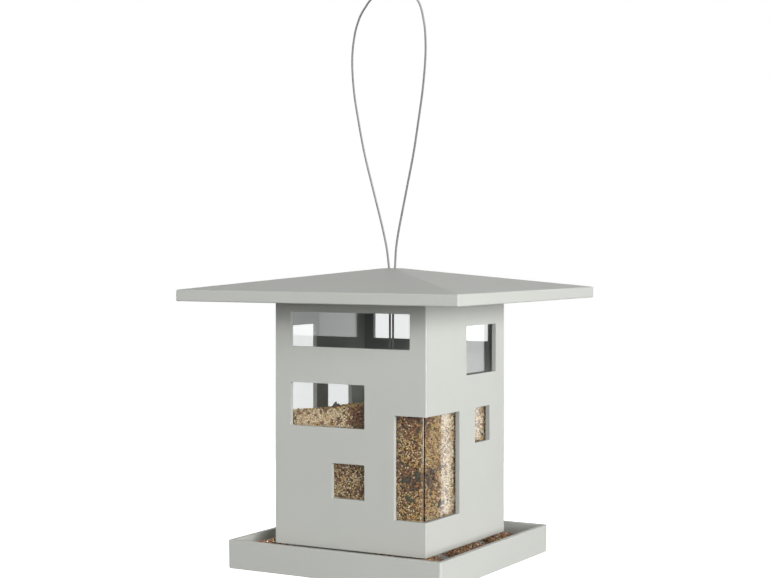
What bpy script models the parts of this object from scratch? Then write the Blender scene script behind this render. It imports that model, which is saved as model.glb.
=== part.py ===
# Hanging bird feeder: a square pyramid roof on a windowed house sleeve, a clear seed tank
# inside it, a shallow seed tray below, and one steel cable that carries them all.
# Metres, +Z up. The origin is the middle of the tray's flat underside. The face at -Y has the
# wide top window, and the corner window wraps the edge between the -Y face and the +X face.
import math

import bmesh
import bpy
from mathutils import Vector

# Clearances
seat_gap = 0.0003            # between two pieces that rest on each other
tank_slip = 0.0004           # between the house sleeve and the clear tank inside it
collar_slip = 0.0006         # between the tank and the roof's collar

# Roof
roof_side = 0.301
roof_fascia = 0.0108         # height of the upright edge
roof_rise = 0.0196           # from the top of the fascia to the flat tip
roof_tip_side = 0.014
roof_skin = 0.003
roof_corner_radius = 0.0015
roof_edge_round = 0.0009
eaves_height = 0.2556        # lower edge of the fascia above the tray's underside
collar_depth = 0.0123        # how far the collar reaches down past the house's top
collar_wall = 0.0024
seat_ring_reach = 0.003      # how far the seat ring runs past the house's outer face

# House sleeve
house_side = 0.1649
house_wall = 0.0044
house_corner_radius = 0.0010
house_bottom = 0.0223        # lower edge of the sleeve above the tray's underside
house_top_rise = 0.0144      # how far the sleeve goes up past the eaves
gusset_leg = 0.026           # along the inner faces
gusset_height = 0.006

# Windows: across is measured along the face from its middle, left to right seen from outside.
# The upper ones hang from the eaves, and the others stand on the house's own levels.
front_top_window = {
    "left": -0.065, "right": 0.0652, "low": eaves_height - 0.0436, "high": eaves_height - 0.0106,
}
front_middle_window = {"left": -0.065, "right": 0.017, "low": 0.1365, "high": 0.1777}
front_lower_window = {"left": -0.0187, "right": 0.017, "low": 0.070, "high": 0.103}
right_top_window = {
    "left": -0.001, "right": 0.063, "low": eaves_height - 0.0716, "high": eaves_height - 0.0246,
}
right_small_window = {"left": 0.017, "right": 0.049, "low": 0.1175, "high": 0.1515}
left_tall_window = {"left": 0.0155, "right": 0.062, "low": 0.134, "high": eaves_height - 0.0251}
left_middle_window = {"left": -0.0525, "right": -0.006, "low": 0.1175, "high": 0.184}
corner_window = {"front_reach": 0.03375, "side_reach": 0.06675, "low": 0.0545, "high": 0.151}

# Clear tank
tank_wall = 0.0026
tank_corner_radius = 0.0022
tank_top_drop = 0.002        # top of the tank below the top of the house

# Tray
tray_side = 0.230
tray_height = 0.0271
tray_wall = 0.005
tray_floor = 0.0032
tray_draft = 0.0003          # each face leans in by this much at the bottom
tray_inner_draft = 0.0008
tray_corner_radius = 0.0022
tray_inner_radius = 0.0034
tray_rim_round = 0.0005
post_radius = 0.007
post_inset = 0.0135          # post axis inside the house's outer face
drain_radius = 0.0015
drain_pitch = 0.010
pocket_radius = 0.014
pocket_wall = 0.003

# Seed deflector in the tray
gutter_width = 0.0082        # flat floor between the deflector's skirt and the tray's wall
shoulder_inset = 0.012       # where the ramp turns into the pyramid, inside the house's outer face
deflector_top = 0.014        # half width of the flat top
deflector_skin = 0.0024
deflector_skirt_height = 0.0060
shoulder_drop = 0.0018       # below the house's lower edge
deflector_top_height = 0.052
post_clearance = 0.0004

# Cable
cable_diameter = 0.0022
strand_spread = 0.00175      # strand axis from the middle, inside the feeder
tip_spread = 0.00335         # strand axis from the middle, where it passes the roof
roof_hole_radius = 0.0018
cable_split = 0.272          # height where the free loop meets the inner strands
cable_slot_radius = 0.0032   # hole that passes both strands

# Anchor under the tray
ferrule_length = 0.009
ferrule_wall = 0.0010
ferrule_bore_slip = 0.0003
ferrule_floor = 0.0020       # bottom of the ferrule above the tray's underside
cable_stub = 0.0008          # cut strand ends below the ferrule
washer_radius = 0.011
washer_thickness = 0.0015

# Screws
screw_shank_radius = 0.0017
screw_head_radius = 0.0036
screw_head_height = 0.0024
screw_hole_slip = 0.0003
screw_head_floor = 0.0011    # bottom of the head above the tray's underside
screw_tip_cover = 0.0010     # gusset left above the screw's tip

# Seed
seed_level = 0.1495
seed_slope_x = 0.045
seed_slope_y = -0.015
seed_mound = 0.004
seed_mound_width = 0.040
seed_slip = 0.0004
seed_crest = 0.0018          # crest of the spilt seed below the house's lower edge
seed_wall_depth = 0.0135     # top of the spilt seed below the tray's rim, at the tray's wall
seed_ripple = 0.0007
seed_thinning = 0.8          # how far the spilt seed thins out where the tray is nearly bare
bare_right = ((-0.62, 0.12), (0.46, 0.13))     # places along each side and how wide, in half sides
bare_back = ((0.15, 0.25),)
bare_left = ((0.5, 0.2),)
bare_front = ((-0.25, 0.60),)

# Heights and half widths worked out from the driving dimensions
roof_half = roof_side / 2
house_half = house_side / 2
tray_half = tray_side / 2
fascia_top = eaves_height + roof_fascia
roof_top = fascia_top + roof_rise
tip_half = roof_tip_side / 2
house_top = eaves_height + house_top_rise
house_inner = house_half - house_wall
tank_half = house_inner - tank_slip
tank_inner = tank_half - tank_wall
gusset_top = house_bottom + gusset_height
gusset_line = 2 * house_inner - gusset_leg
tank_bottom = gusset_top + seat_gap
tank_top = house_top - tank_top_drop
post_place = house_half - post_inset
post_top = house_bottom - seat_gap
gutter_outer = tray_half - tray_wall - tray_inner_draft
deflector_skirt = gutter_outer - gutter_width
deflector_shoulder = house_half - shoulder_inset
deflector_shoulder_height = house_bottom - shoulder_drop
washer_low = ferrule_floor + ferrule_length + seat_gap
pocket_ceiling = washer_low + washer_thickness + seat_gap
cable_radius = cable_diameter / 2
bare = (bare_right, bare_back, bare_left, bare_front)
arc_steps = 4
round_sides = 24
overshoot = 0.002            # how far a cutter runs past what it cuts


def clear_scene():
    for item in list(bpy.data.objects):
        bpy.data.objects.remove(item, do_unlink=True)


def make_material(name, color, roughness, metallic=0.0, alpha=1.0):
    finish = bpy.data.materials.new(name)
    finish.use_nodes = True
    shader = finish.node_tree.nodes["Principled BSDF"]
    shader.inputs["Base Color"].default_value = (*color, 1.0)
    shader.inputs["Roughness"].default_value = roughness
    shader.inputs["Metallic"].default_value = metallic
    shader.inputs["Alpha"].default_value = alpha
    finish.diffuse_color = (*color, alpha)
    return finish


def finish_mesh(name, mesh_data, finish):
    bmesh.ops.remove_doubles(mesh_data, verts=mesh_data.verts, dist=1e-6)
    bmesh.ops.recalc_face_normals(mesh_data, faces=mesh_data.faces)
    mesh = bpy.data.meshes.new(name)
    mesh_data.to_mesh(mesh)
    mesh_data.free()
    piece = bpy.data.objects.new(name, mesh)
    bpy.context.scene.collection.objects.link(piece)
    if finish is not None:
        mesh.materials.append(finish)
    return piece


def shade_round(piece, angle=35):
    piece.data.shade_smooth()
    piece.data.set_sharp_from_angle(angle=math.radians(angle))


def mark_cutter(piece):
    piece.hide_render = True
    piece.display_type = "WIRE"


def combine(piece, other, operation):
    mark_cutter(other)
    step = piece.modifiers.new(other.name, "BOOLEAN")
    step.operation = operation
    step.solver = "EXACT"
    step.object = other


def square_ring(half, radius, height, half_y=None):
    # One ring of points round a square with rounded corners
    half_y = half if half_y is None else half_y
    ring = []
    for corner, (sx, sy) in enumerate(((1, 1), (-1, 1), (-1, -1), (1, -1))):
        for step in range(arc_steps + 1):
            angle = math.radians(90 * corner + 90 * step / arc_steps)
            x = sx * (half - radius) + radius * math.cos(angle)
            y = sy * (half_y - radius) + radius * math.sin(angle)
            ring.append(Vector((x, y, height)))
    return ring


def round_ring(radius, height, sides):
    angles = [2 * math.pi * i / sides for i in range(sides)]
    return [Vector((radius * math.cos(angle), radius * math.sin(angle), height)) for angle in angles]


def loft(name, rings, finish, closed=False):
    # A skin through rings of equal count. Open chains get a cap at each end.
    body = bmesh.new()
    rows = [[body.verts.new(point) for point in ring] for ring in rings]
    pairs = list(zip(rows, rows[1:]))
    if closed:
        pairs.append((rows[-1], rows[0]))
    count = len(rows[0])
    for low, high in pairs:
        for i in range(count):
            j = (i + 1) % count
            body.faces.new((low[i], low[j], high[j], high[i]))
    if not closed:
        body.faces.new(rows[0])
        body.faces.new(rows[-1])
    return finish_mesh(name, body, finish)


def add_box(body, low, high):
    corners = [Vector((x, y, z)) for z in (low[2], high[2]) for x, y in
               ((low[0], low[1]), (high[0], low[1]), (high[0], high[1]), (low[0], high[1]))]
    verts = [body.verts.new(point) for point in corners]
    for face in ((0, 3, 2, 1), (4, 5, 6, 7), (0, 1, 5, 4), (1, 2, 6, 5), (2, 3, 7, 6), (3, 0, 4, 7)):
        body.faces.new([verts[i] for i in face])


def add_post(body, x, y, low, high, radius, sides=round_sides, top_radius=None):
    top_radius = radius if top_radius is None else top_radius
    rows = []
    for height, size in ((low, radius), (high, top_radius)):
        row = []
        for i in range(sides):
            angle = 2 * math.pi * i / sides
            row.append(body.verts.new((x + size * math.cos(angle), y + size * math.sin(angle), height)))
        rows.append(row)
    for i in range(sides):
        j = (i + 1) % sides
        body.faces.new((rows[0][i], rows[0][j], rows[1][j], rows[1][i]))
    body.faces.new(rows[0])
    body.faces.new(rows[1])


def add_wedge(body, sx, sy, reach, line, low, high):
    # A three-cornered block in one corner of a square. Its long side is where |x| + |y| = line.
    rows = []
    for height in (low, high):
        points = ((reach, reach), (reach, line - reach), (line - reach, reach))
        rows.append([body.verts.new((sx * x, sy * y, height)) for x, y in points])
    for i in range(3):
        j = (i + 1) % 3
        body.faces.new((rows[0][i], rows[0][j], rows[1][j], rows[1][i]))
    body.faces.new(rows[0])
    body.faces.new(rows[1])


def corners():
    return ((1, 1), (-1, 1), (-1, -1), (1, -1))


def roof_surface(distance):
    # Height of the roof's outer slope at a distance from the middle, across a side
    share = (roof_half - distance) / (roof_half - tip_half)
    return fascia_top + roof_rise * share


def roof_middle(distance):
    return roof_surface(distance) - roof_skin / 2


def make_roof(finish):
    inner_half = roof_half - roof_skin
    inner_base = roof_surface(inner_half) - roof_skin
    inner_radius = max(roof_corner_radius - roof_skin / 2, 0.0006)
    soft = roof_edge_round
    rings = [
        square_ring(tip_half - 0.0004, 0.0012, roof_top - roof_skin),
        square_ring(inner_half, inner_radius, inner_base),
        square_ring(inner_half, inner_radius, eaves_height),
        square_ring(roof_half - soft, roof_corner_radius, eaves_height),
        square_ring(roof_half - 0.3 * soft, roof_corner_radius, eaves_height + 0.3 * soft),
        square_ring(roof_half, roof_corner_radius, eaves_height + soft),
        square_ring(roof_half, roof_corner_radius, fascia_top - soft),
        square_ring(roof_half - 0.35 * soft, roof_corner_radius, fascia_top - 0.25 * soft),
        square_ring(roof_half - 1.3 * soft, roof_corner_radius, roof_surface(roof_half - 1.3 * soft)),
        square_ring(tip_half + 0.002, 0.0020, roof_surface(tip_half + 0.002)),
        square_ring(tip_half, 0.0016, roof_top - 0.00008),
        square_ring(tip_half - 0.0025, 0.0012, roof_top),
    ]
    roof = loft("roof", rings, finish)

    collar_outer = tank_inner - collar_slip
    collar_inner = collar_outer - collar_wall
    seat = house_top + seat_gap
    ring_outer = house_half + seat_ring_reach
    section = [
        (collar_inner, house_top - collar_depth),
        (collar_outer, house_top - collar_depth),
        (collar_outer, seat),
        (ring_outer, seat),
        (ring_outer, roof_middle(ring_outer)),
        (collar_inner, roof_middle(collar_inner)),
    ]
    ring = loft("roof_seat_ring", [square_ring(d, 0.002, z) for d, z in section], None, closed=True)
    combine(roof, ring, "UNION")

    holes = bmesh.new()
    for side in (-1, 1):
        add_post(holes, side * tip_spread, 0, roof_top - roof_skin - overshoot, roof_top + overshoot,
                 roof_hole_radius, 16)
    combine(roof, finish_mesh("roof_cable_holes", holes, None), "DIFFERENCE")
    return roof


def window_box(body, face, window):
    # Face 0 looks to -Y, 1 to +X, 2 to +Y and 3 to -X
    inner = house_inner - overshoot
    outer = house_half + overshoot
    a, b = window["left"], window["right"]
    spans = (
        ((a, -outer), (b, -inner)),
        ((inner, a), (outer, b)),
        ((-b, inner), (-a, outer)),
        ((-outer, -b), (-inner, -a)),
    )
    (x0, y0), (x1, y1) = spans[face]
    add_box(body, (x0, y0, window["low"]), (x1, y1, window["high"]))


def make_house(finish):
    outer_r = house_corner_radius
    inner_r = 0.0024
    rings = [
        square_ring(house_inner, inner_r, house_bottom),
        square_ring(house_half, outer_r, house_bottom),
        square_ring(house_half, outer_r, house_top),
        square_ring(house_inner, inner_r, house_top),
    ]
    house = loft("house_shell", rings, finish, closed=True)

    gussets = bmesh.new()
    for sx, sy in corners():
        add_wedge(gussets, sx, sy, house_inner + house_wall / 2, gusset_line, house_bottom, gusset_top)
    combine(house, finish_mesh("house_gussets", gussets, None), "UNION")

    openings = bmesh.new()
    for face, window in (
        (0, front_top_window), (0, front_middle_window), (0, front_lower_window),
        (1, right_top_window), (1, right_small_window),
        (2, front_top_window), (2, front_middle_window), (2, front_lower_window),
        (3, left_tall_window), (3, left_middle_window),
    ):
        window_box(openings, face, window)
    outer = house_half + overshoot
    add_box(openings,
            (house_half - corner_window["front_reach"], -outer, corner_window["low"]),
            (outer, -house_half + corner_window["side_reach"], corner_window["high"]))
    combine(house, finish_mesh("house_windows", openings, None), "DIFFERENCE")

    pilots = bmesh.new()
    for sx, sy in corners():
        add_post(pilots, sx * post_place, sy * post_place, house_bottom - overshoot,
                 gusset_top - screw_tip_cover + seat_gap, screw_shank_radius + screw_hole_slip, 12)
    combine(house, finish_mesh("house_pilots", pilots, None), "DIFFERENCE")
    return house


def make_tank(finish):
    inner_r = max(tank_corner_radius - tank_wall / 2, 0.0006)
    rings = [
        square_ring(tank_inner, inner_r, tank_bottom),
        square_ring(tank_half, tank_corner_radius, tank_bottom),
        square_ring(tank_half, tank_corner_radius, tank_top),
        square_ring(tank_inner, inner_r, tank_top),
    ]
    return loft("seed_tank", rings, finish, closed=True)


def make_tray(finish):
    rim = tray_half
    soft = tray_rim_round
    inner_rim = rim - tray_wall
    inner_r = tray_inner_radius
    rings = [
        square_ring(rim - tray_draft - soft, tray_corner_radius, 0),
        square_ring(rim - tray_draft, tray_corner_radius, soft),
        square_ring(rim, tray_corner_radius, tray_height - soft),
        square_ring(rim - 0.3 * soft, tray_corner_radius, tray_height - 0.3 * soft),
        square_ring(rim - soft, tray_corner_radius, tray_height),
        square_ring(inner_rim + soft, inner_r, tray_height),
        square_ring(inner_rim, inner_r, tray_height - soft),
        square_ring(inner_rim - tray_inner_draft, inner_r, tray_floor),
    ]
    tray = loft("tray", rings, finish)

    raised = bmesh.new()
    for sx, sy in corners():
        add_post(raised, sx * post_place, sy * post_place, tray_floor / 2, post_top, post_radius)
    add_post(raised, 0, 0, tray_floor / 2, pocket_ceiling + pocket_wall, pocket_radius + pocket_wall, 32)
    combine(tray, finish_mesh("tray_posts", raised, None), "UNION")

    cuts = bmesh.new()
    add_post(cuts, 0, 0, -overshoot, pocket_ceiling, pocket_radius, 32)
    for sx, sy in corners():
        add_post(cuts, sx * post_place, sy * post_place, -overshoot,
                 screw_head_floor + screw_head_height + seat_gap, screw_head_radius + 2 * screw_hole_slip)
    combine(tray, finish_mesh("tray_pockets", cuts, None), "DIFFERENCE")

    bores = bmesh.new()
    add_post(bores, 0, 0, pocket_ceiling - overshoot / 2, pocket_ceiling + pocket_wall + overshoot,
             cable_slot_radius, 16)
    for sx, sy in corners():
        add_post(bores, sx * post_place, sy * post_place, screw_head_floor + screw_head_height / 2,
                 post_top + overshoot, screw_shank_radius + screw_hole_slip, 12)
        for step in (-1, 0, 1):
            drain = gutter_outer - gutter_width / 2
            add_post(bores, sx * drain, sy * (drain - drain_pitch * (1 + step)), -overshoot,
                     tray_floor + overshoot, drain_radius, 10)
    combine(tray, finish_mesh("tray_bores", bores, None), "DIFFERENCE")
    return tray


def deflector_height(distance):
    # Height of the deflector's outer surface at a distance from the middle, across a side
    if distance > deflector_shoulder:
        share = (distance - deflector_shoulder) / (deflector_skirt - deflector_shoulder)
        low = tray_floor + seat_gap + deflector_skirt_height
        return deflector_shoulder_height + (low - deflector_shoulder_height) * share
    share = (distance - deflector_top) / (deflector_shoulder - deflector_top)
    return deflector_top_height + (deflector_shoulder_height - deflector_top_height) * share


def make_deflector(finish):
    base = tray_floor + seat_gap
    skin = deflector_skin
    inner_skirt = deflector_skirt - skin
    rings = [
        square_ring(deflector_top - 0.4 * skin, 0.002, deflector_top_height - skin),
        square_ring(deflector_shoulder - 0.4 * skin, 0.002, deflector_shoulder_height - skin),
        square_ring(inner_skirt, 0.002, deflector_height(inner_skirt) - skin),
        square_ring(inner_skirt, 0.002, base),
        square_ring(deflector_skirt, 0.003, base),
        square_ring(deflector_skirt, 0.003, deflector_height(deflector_skirt)),
        square_ring(deflector_shoulder, 0.003, deflector_shoulder_height),
        square_ring(deflector_top, 0.003, deflector_top_height),
    ]
    deflector = loft("seed_deflector", rings, finish)
    cuts = bmesh.new()
    add_post(cuts, 0, 0, deflector_top_height - skin - overshoot, deflector_top_height + overshoot,
             cable_slot_radius, 16)
    for sx, sy in corners():
        add_post(cuts, sx * post_place, sy * post_place, 0, house_bottom + overshoot,
                 post_radius + post_clearance)
    combine(deflector, finish_mesh("deflector_cuts", cuts, None), "DIFFERENCE")
    return deflector


def route_points():
    # The free loop by hand: height above the roof's tip, half the distance between the strands,
    # and how far their middle leans. The strands run up from inside the roof, swell, and close
    # at the top. The cable keeps a slight set to one side.
    rise = [
        (cable_split - roof_top, strand_spread, 0.0),
        (-0.0095, 0.00200, 0.0),
        (-0.0015, tip_spread - 0.00018, 0.0),
        (0.0030, 0.00360, 0.0),
        (0.0190, 0.0052, -0.0006),
        (0.0345, 0.0082, -0.0011),
        (0.0500, 0.0119, -0.0015),
        (0.0815, 0.0199, -0.0025),
        (0.1130, 0.0277, -0.0034),
        (0.1445, 0.0338, -0.0041),
        (0.1760, 0.0390, -0.0044),
        (0.2070, 0.0414, -0.0040),
        (0.2310, 0.0398, -0.0029),
        (0.2460, 0.0362, -0.0018),
        (0.2530, 0.0334, -0.0008),
        (0.2590, 0.0299, 0.0001),
        (0.2640, 0.0259, 0.0003),
        (0.2700, 0.0186, 0.0002),
        (0.2734, 0.0110, 0.0001),
    ]
    top = Vector((0, 0, roof_top + 0.2750))
    left = [Vector((lean - spread, 0, roof_top + height)) for height, spread, lean in rise]
    right = [Vector((lean + spread, 0, roof_top + height)) for height, spread, lean in reversed(rise)]
    return left + [top] + right


def smooth_route(points, count):
    # Evenly spaced points on a Catmull-Rom curve through the route
    fine = []
    padded = [2 * points[0] - points[1]] + points + [2 * points[-1] - points[-2]]
    for i in range(len(points) - 1):
        a, b, c, d = padded[i:i + 4]
        for step in range(12):
            t = step / 12
            fine.append(0.5 * (2 * b + (c - a) * t + (2 * a - 5 * b + 4 * c - d) * t * t
                               + (3 * b - a - 3 * c + d) * t ** 3))
    fine.append(points[-1].copy())
    lengths = [0.0]
    for a, b in zip(fine, fine[1:]):
        lengths.append(lengths[-1] + (b - a).length)
    even = []
    at = 0
    for k in range(count):
        goal = lengths[-1] * k / (count - 1)
        while at < len(fine) - 2 and lengths[at + 1] < goal:
            at += 1
        share = (goal - lengths[at]) / (lengths[at + 1] - lengths[at])
        even.append(fine[at].lerp(fine[at + 1], min(share, 1.0)))
    return even, lengths[-1]


def make_cable_loop(finish):
    points, length = smooth_route(route_points(), 80)
    print(f"free loop of cable: {length:.3f} m")
    curve = bpy.data.curves.new("cable_loop", "CURVE")
    curve.dimensions = "3D"
    curve.bevel_depth = cable_radius
    curve.bevel_resolution = 2
    curve.use_fill_caps = True
    spline = curve.splines.new("POLY")
    spline.points.add(len(points) - 1)
    for point, place in zip(spline.points, points):
        point.co = (*place, 1.0)
    curve.materials.append(finish)
    loop = bpy.data.objects.new("cable_loop", curve)
    bpy.context.scene.collection.objects.link(loop)
    return loop


def make_run(name, side, finish):
    body = bmesh.new()
    add_post(body, side * strand_spread, 0, ferrule_floor - cable_stub, cable_split - seat_gap,
             cable_radius, 12)
    run = finish_mesh(name, body, finish)
    shade_round(run, 50)
    return run


def make_ferrule(finish):
    bore = cable_radius + ferrule_bore_slip
    round_r = bore + ferrule_wall
    reach = strand_spread + round_r
    low, high = ferrule_floor, ferrule_floor + ferrule_length
    soft = 0.0004
    rows = []
    for height, inset in ((low, soft), (low + soft, 0), (high - soft, 0), (high, soft)):
        rows.append(square_ring(reach - inset, round_r - inset - 0.00001, height, round_r - inset))
    ferrule = loft("ferrule", rows, finish)
    bores = bmesh.new()
    for side in (-1, 1):
        add_post(bores, side * strand_spread, 0, low - overshoot, high + overshoot, bore, 16)
    combine(ferrule, finish_mesh("ferrule_bores", bores, None), "DIFFERENCE")
    shade_round(ferrule)
    return ferrule


def make_washer(finish):
    rings = []
    for radius, height in (
        (cable_slot_radius, washer_low), (washer_radius, washer_low),
        (washer_radius, washer_low + washer_thickness), (cable_slot_radius, washer_low + washer_thickness),
    ):
        rings.append(round_ring(radius, height, 32))
    washer = loft("anchor_washer", rings, finish, closed=True)
    shade_round(washer)
    return washer


def make_screw(name, sx, sy, finish):
    # A pan head below, with its cross recess, and a plain shank up into the gusset
    low = screw_head_floor
    seat = low + screw_head_height
    tip = gusset_top - screw_tip_cover
    profile = [
        (0.55 * screw_head_radius, low),
        (0.86 * screw_head_radius, low + 0.12 * screw_head_height),
        (screw_head_radius, low + 0.45 * screw_head_height),
        (screw_head_radius, seat),
        (screw_shank_radius, seat),
        (screw_shank_radius, tip - 2 * screw_shank_radius),
        (0.25 * screw_shank_radius, tip),
    ]
    rings = []
    for radius, height in profile:
        rings.append(round_ring(radius, height, round_sides))
    screw = loft(name, rings, finish)
    recess = bmesh.new()
    arm, blade, depth = 0.50 * screw_head_radius, 0.12 * screw_head_radius, 0.45 * screw_head_height
    cross = []
    for turn in range(4):
        c, s = (1, 0, -1, 0)[turn], (0, 1, 0, -1)[turn]
        for x, y in ((blade, -blade), (arm, -blade), (arm, blade)):
            cross.append((c * x - s * y, s * x + c * y))
    levels = (low - overshoot, low + depth)
    rows = [[recess.verts.new((x, y, height)) for x, y in cross] for height in levels]
    for i in range(len(cross)):
        j = (i + 1) % len(cross)
        recess.faces.new((rows[0][i], rows[0][j], rows[1][j], rows[1][i]))
    recess.faces.new(rows[0])
    recess.faces.new(rows[1])
    cutter = finish_mesh(name + "_recess", recess, None)
    combine(screw, cutter, "DIFFERENCE")
    shade_round(screw)
    screw.location = (sx * post_place, sy * post_place, 0)
    cutter.location = screw.location
    return screw


def seed_height(x, y):
    # The seed's surface in the tank: it leans up to the right, with a low mound in the middle
    spread = ((x - 0.02) ** 2 + (y + 0.01) ** 2) / seed_mound_width ** 2
    ripple = 0.0006 * math.sin(95 * x + 1.0) * math.cos(80 * y)
    return seed_level + seed_slope_x * x + seed_slope_y * y + seed_mound * math.exp(-spread) + ripple


def grid_ring(half, height, cells):
    # Points round a square, with the same count as the rim of a grid of cells
    ring = []
    for side in range(4):
        for i in range(cells):
            t = -half + 2 * half * i / cells
            x, y = ((t, -half), (half, t), (-t, half), (-half, -t))[side]
            z = seed_height(x, y) if height is None else height
            ring.append(Vector((x, y, z)))
    return ring


def make_seed_fill(finish):
    half = tank_inner - seed_slip
    cells = 12
    body = bmesh.new()
    low_edge = deflector_height(half) + seed_slip
    rings = [
        grid_ring(deflector_top, deflector_top_height + seed_slip, cells),
        grid_ring(deflector_shoulder, deflector_shoulder_height + seed_slip, cells),
        grid_ring(half, low_edge, cells),
        grid_ring(half, None, cells),
    ]
    rows = [[body.verts.new(point) for point in ring] for ring in rings]
    count = 4 * cells
    for low, high in zip(rows, rows[1:]):
        for i in range(count):
            j = (i + 1) % count
            body.faces.new((low[i], low[j], high[j], high[i]))
    body.faces.new(rows[0])
    grid = [[None] * (cells + 1) for _ in range(cells + 1)]
    for i, vert in enumerate(rows[-1]):
        side, step = divmod(i, cells)
        spot = ((step, 0), (cells, step), (cells - step, cells), (0, cells - step))[side]
        grid[spot[0]][spot[1]] = vert
    for i in range(cells + 1):
        for j in range(cells + 1):
            if grid[i][j] is None:
                x, y = (-half + 2 * half * k / cells for k in (i, j))
                grid[i][j] = body.verts.new((x, y, seed_height(x, y)))
    for i in range(cells):
        for j in range(cells):
            body.faces.new((grid[i][j], grid[i + 1][j], grid[i + 1][j + 1]))
            body.faces.new((grid[i][j], grid[i + 1][j + 1], grid[i][j + 1]))
    fill = finish_mesh("seed_fill", body, finish)

    cuts = bmesh.new()
    for sx, sy in corners():
        add_wedge(cuts, sx, sy, house_half, gusset_line - 2 * seed_slip, low_edge - 2 * overshoot,
                  tank_bottom + seat_gap)
    add_post(cuts, 0, 0, deflector_top_height - overshoot, seed_level + 5 * seed_mound,
             cable_slot_radius, 16)
    combine(fill, finish_mesh("seed_fill_cuts", cuts, None), "DIFFERENCE")
    return fill


def make_tray_seed(name, turn, finish):
    # Seed that ran out under one side of the house: a wedge over the ramp and the gutter,
    # mitred at both ends, with a gently uneven top
    gutter_wall = deflector_skirt + seed_slip
    inner = tank_half - 0.0009
    wall = gutter_outer - seed_slip
    base = tray_floor + seed_slip
    crest = house_bottom - seed_crest
    wall_top = tray_height - seed_wall_depth
    corner_limit = wall - 0.65 * tray_inner_radius
    stations = 20
    body = bmesh.new()
    rows = []
    for k in range(stations + 1):
        t = -1 + 2 * k / stations
        fill = 1 - seed_thinning * max(math.exp(-((t - spot) / width) ** 2) for spot, width in bare[turn])
        wave = seed_ripple * (math.sin(7.0 * t + 1.7 * turn) + 0.6 * math.sin(15.0 * t + 0.6 * turn))
        floor_inner = deflector_height(inner) + seed_slip
        floor_edge = deflector_height(house_half) + seed_slip
        floor_skirt = deflector_height(deflector_skirt) + seed_slip
        middle = 0.5 * (wall + house_half)
        floor_middle = max(deflector_height(middle) + seed_slip, base)
        profile = [
            (inner, floor_inner),
            (gutter_wall, floor_skirt),
            (gutter_wall, base),
            (wall, base),
            (wall, base + (wall_top - base) * fill + wave * fill),
            (middle, floor_middle + (0.5 * (wall_top + crest) + 0.0004 + wave - floor_middle) * fill),
            (house_half, floor_edge + (crest - abs(wave) * 0.4 - floor_edge) * fill),
            (inner, floor_inner + (crest - floor_inner) * fill),
        ]
        row = []
        for d, z in profile:
            y = t * min(d - seed_slip, corner_limit)
            angle = math.radians(90 * turn)
            x_out = d * math.cos(angle) - y * math.sin(angle)
            y_out = d * math.sin(angle) + y * math.cos(angle)
            row.append(body.verts.new((x_out, y_out, z)))
        rows.append(row)
    count = len(rows[0])
    for low, high in zip(rows, rows[1:]):
        for i in range(count):
            j = (i + 1) % count
            body.faces.new((low[i], low[j], high[j], high[i]))
    body.faces.new(rows[0])
    body.faces.new(rows[-1])
    return finish_mesh(name, body, finish)


def main():
    clear_scene()
    plastic = make_material("warm_grey_plastic", (0.56, 0.57, 0.54), 0.45)
    clear = make_material("clear_plastic", (0.95, 0.96, 0.96), 0.05, alpha=0.25)
    steel = make_material("steel", (0.55, 0.55, 0.54), 0.3, metallic=1.0)
    seed = make_material("seed_mix", (0.52, 0.36, 0.18), 0.7)

    make_tray(plastic)
    make_deflector(plastic)
    make_house(plastic)
    make_tank(clear)
    make_seed_fill(seed)
    for turn, side in enumerate(("right", "back", "left", "front")):
        make_tray_seed("tray_seed_" + side, turn, seed)
    make_washer(steel)
    make_ferrule(steel)
    make_run("cable_run_left", -1, steel)
    make_run("cable_run_right", 1, steel)
    for number, (sx, sy) in enumerate(corners(), 1):
        make_screw(f"house_screw_{number}", sx, sy, steel)
    make_cable_loop(steel)

    # The roof's origin is on the cable's axis, along which it lifts
    lift = bpy.data.objects.new("roof_lift", None)
    bpy.context.scene.collection.objects.link(lift)
    lift.location = (0, 0, eaves_height)
    roof = make_roof(plastic)
    for item in [roof] + [step.object for step in roof.modifiers]:
        item.parent = lift
        item.matrix_parent_inverse.translation = (0, 0, -eaves_height)


main()
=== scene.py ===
import math
import bmesh
import bpy
import numpy as np
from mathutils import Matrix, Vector


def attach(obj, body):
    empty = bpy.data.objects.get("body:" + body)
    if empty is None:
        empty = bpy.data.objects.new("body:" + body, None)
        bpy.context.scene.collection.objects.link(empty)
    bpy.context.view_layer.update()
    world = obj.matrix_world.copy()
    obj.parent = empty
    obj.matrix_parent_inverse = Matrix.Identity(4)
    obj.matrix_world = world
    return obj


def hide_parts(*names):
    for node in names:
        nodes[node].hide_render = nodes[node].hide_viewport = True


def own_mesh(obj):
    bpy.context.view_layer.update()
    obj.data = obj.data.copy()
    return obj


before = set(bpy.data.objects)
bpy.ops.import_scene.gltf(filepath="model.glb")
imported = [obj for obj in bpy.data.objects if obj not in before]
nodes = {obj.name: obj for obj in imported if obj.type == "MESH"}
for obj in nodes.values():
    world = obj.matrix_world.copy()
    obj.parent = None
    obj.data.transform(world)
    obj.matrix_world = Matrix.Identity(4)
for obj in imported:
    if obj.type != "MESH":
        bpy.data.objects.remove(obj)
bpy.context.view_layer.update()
print("feeder loaded:", len(nodes), "solids")


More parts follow.
